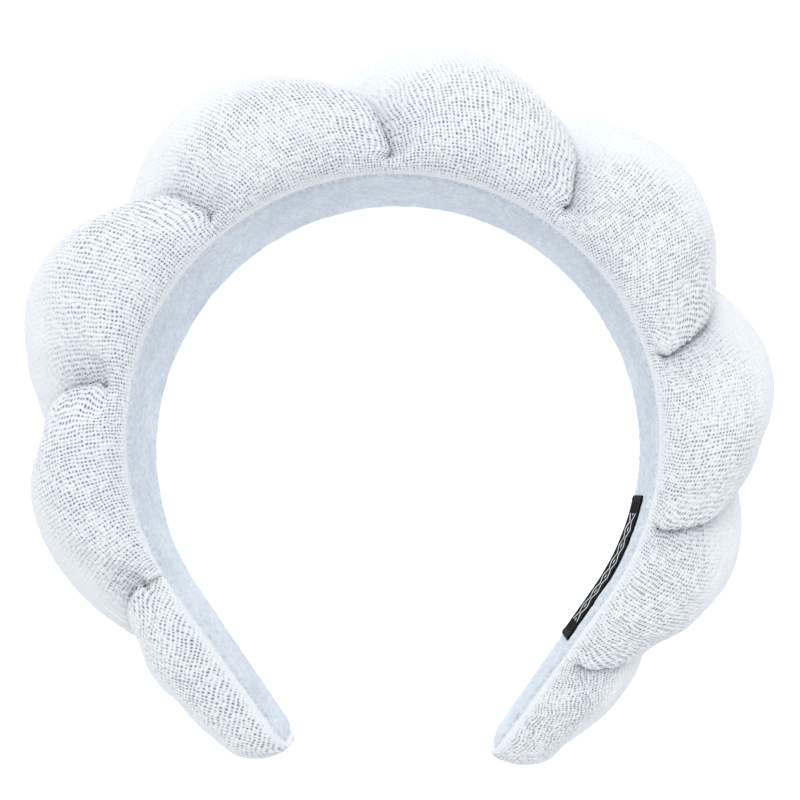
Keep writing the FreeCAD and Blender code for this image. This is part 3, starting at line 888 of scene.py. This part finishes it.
def label_pieces():
    """The woven size label, sewn a little askew on the lining, and the stitches at its two ends."""
    columns, rows = LABEL_COLUMNS, LABEL_ROWS
    stations = np.linspace(LABEL_TOP, LABEL_END, columns)[:, None]
    length = math.radians(LABEL_TOP - LABEL_END) * CORE_MID
    across = np.linspace(-1, 1, rows)[None, :]
    u = np.linspace(-length / 2, length / 2, columns)[:, None] + 0 * across
    shift = np.linspace(*LABEL_SHIFT, columns)[:, None]
    teeth = 0.22 * np.abs(np.mod(u / 0.9, 1) - 0.5)
    z = across * (LABEL_HALF + teeth) + shift
    puff = 0.06 * lattice_noise(u / 4, z / 4, 51) - 0.02 * np.cos(u * 2 * math.pi / 0.5)
    n = LABEL_FRONT + puff + 0.32 * np.clip((np.abs(across) - 0.95) / 0.05, 0, 1) ** 2
    mark = label_mark(u, z - shift)
    back = np.linspace(1, -1, LABEL_BACK_ROWS)[None, 1:-1]
    z = np.concatenate([z, back * LABEL_HALF + shift], 1)
    n = np.concatenate([n, 0 * back + np.full((columns, 1), LABEL_BACK)], 1)
    n[[0, -1]] = -0.05
    count = z.shape[1]
    weave = np.zeros((columns, count, 3))
    weave[:, :rows, 0], weave[:, :rows, 1] = u, z[:, :rows] - shift
    weave[:, :rows, 2] = mark
    points = band_point(stations + 0 * z, n, z)
    piece = new_mesh("woven_size_label", points.reshape(-1, 3),
                     grid_faces(columns, count, close=True), {"weave": weave.reshape(-1, 3)})
    dress(piece, LABEL_CLOTH)
    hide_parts("woven_label")
    bend(piece, PUFFS - 1)

    stitches = []
    for station, middle in ((LABEL_TOP - 0.9, LABEL_SHIFT[0]), (LABEL_END + 0.9, LABEL_SHIFT[1])):
        for spot in np.linspace(-0.8, 0.8, 5) * LABEL_HALF:
            way = np.linspace(-1, 1, 9)
            height = -0.55 + 0.4 * way ** 2
            path = band_point(station + way * 0.95, height, middle + spot + 0.15 * way)
            stitches.append(tube(path, 0.14, 6))
    points, faces = joined(stitches)
    piece = new_mesh("label_tacks", points, faces)
    dress(piece, LABEL_THREAD)
    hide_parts("label_stitches")
    bend(piece, PUFFS - 1)


# ---------------------------------------------------------------- make everything
ROLL = make_roll()
cover_pieces(ROLL)
foam_pieces()
lining_pieces()
edge_loops()
cinch_threads(ROLL)
label_pieces()
for number in range(1, PUFFS + 1):
    core_materials = bpy.data.objects["band_core_%d" % number].data.materials
    core_materials.clear()
    core_materials.append(CORE)


# ---------------------------------------------------------------- floor, light and camera
def stage():
    """A plain white floor that glows a little, so it stays white under the soft light."""
    mesh = bpy.data.meshes.new("floor")
    size = 3.0
    corners = [(-size, -size, 0), (size, -size, 0), (size, size, 0), (-size, size, 0)]
    mesh.from_pydata(corners, [], [(0, 1, 2, 3)])
    floor = bpy.data.objects.new("floor", mesh)
    bpy.context.scene.collection.objects.link(floor)
    mat, _, shader = material("floor_white", (0.93, 0.93, 0.94), 0.9)
    shader.inputs["Emission Color"].default_value = (1, 1, 1, 1)
    shader.inputs["Emission Strength"].default_value = 0.42
    floor.data.materials.append(mat)


def light(name, place, target, size, power):
    lamp = bpy.data.lights.new(name, "AREA")
    lamp.size = size
    lamp.energy = power
    made = bpy.data.objects.new(name, lamp)
    made.location = place
    aim = Vector(target) - Vector(place)
    made.rotation_euler = aim.to_track_quat("-Z", "Y").to_euler()
    bpy.context.scene.collection.objects.link(made)


def lights():
    middle = (0, 0, 0.02)
    light("key", (-0.08, 0.28, 0.86), middle, 0.6, 4.1)
    light("fill", (0.2, -0.25, 0.9), middle, 0.9, 0.8)
    world = bpy.data.worlds.new("sky")
    bpy.context.scene.world = world
    world.use_nodes = True
    world.node_tree.nodes["Background"].inputs[0].default_value = (0.93, 0.96, 1.0, 1)
    world.node_tree.nodes["Background"].inputs[1].default_value = 0.62


def camera():
    """Looks down the head's axis from 0.3 m, a few degrees off it."""
    image, focal_pixels, inner_radius_pixels = 800, 1180, 239.5
    aim = (-4, -43)
    forward = Vector((-0.0517, 0.0771, -1)).normalized()
    right = Vector((1, 0, -0.0517)).normalized()
    up = right.cross(forward)
    back_centre = Vector((0, 0, -LINING_HALF))
    depth = RADIUS * focal_pixels / inner_radius_pixels
    offset = right * (aim[0] / focal_pixels) + up * (aim[1] / focal_pixels)
    spot = back_centre - depth * (forward + offset)
    data = bpy.data.cameras.new("camera")
    data.sensor_width = 36
    data.lens = data.sensor_width * focal_pixels / image
    data.clip_start = 0.01
    made = bpy.data.objects.new("camera", data)
    turn = Matrix((right, up, -forward)).transposed().to_4x4()
    made.matrix_world = REST @ Matrix.Translation(spot * MM) @ turn
    bpy.context.scene.collection.objects.link(made)
    bpy.context.scene.camera = made


stage()
lights()
camera()
bpy.context.scene.view_settings.view_transform = "Standard"
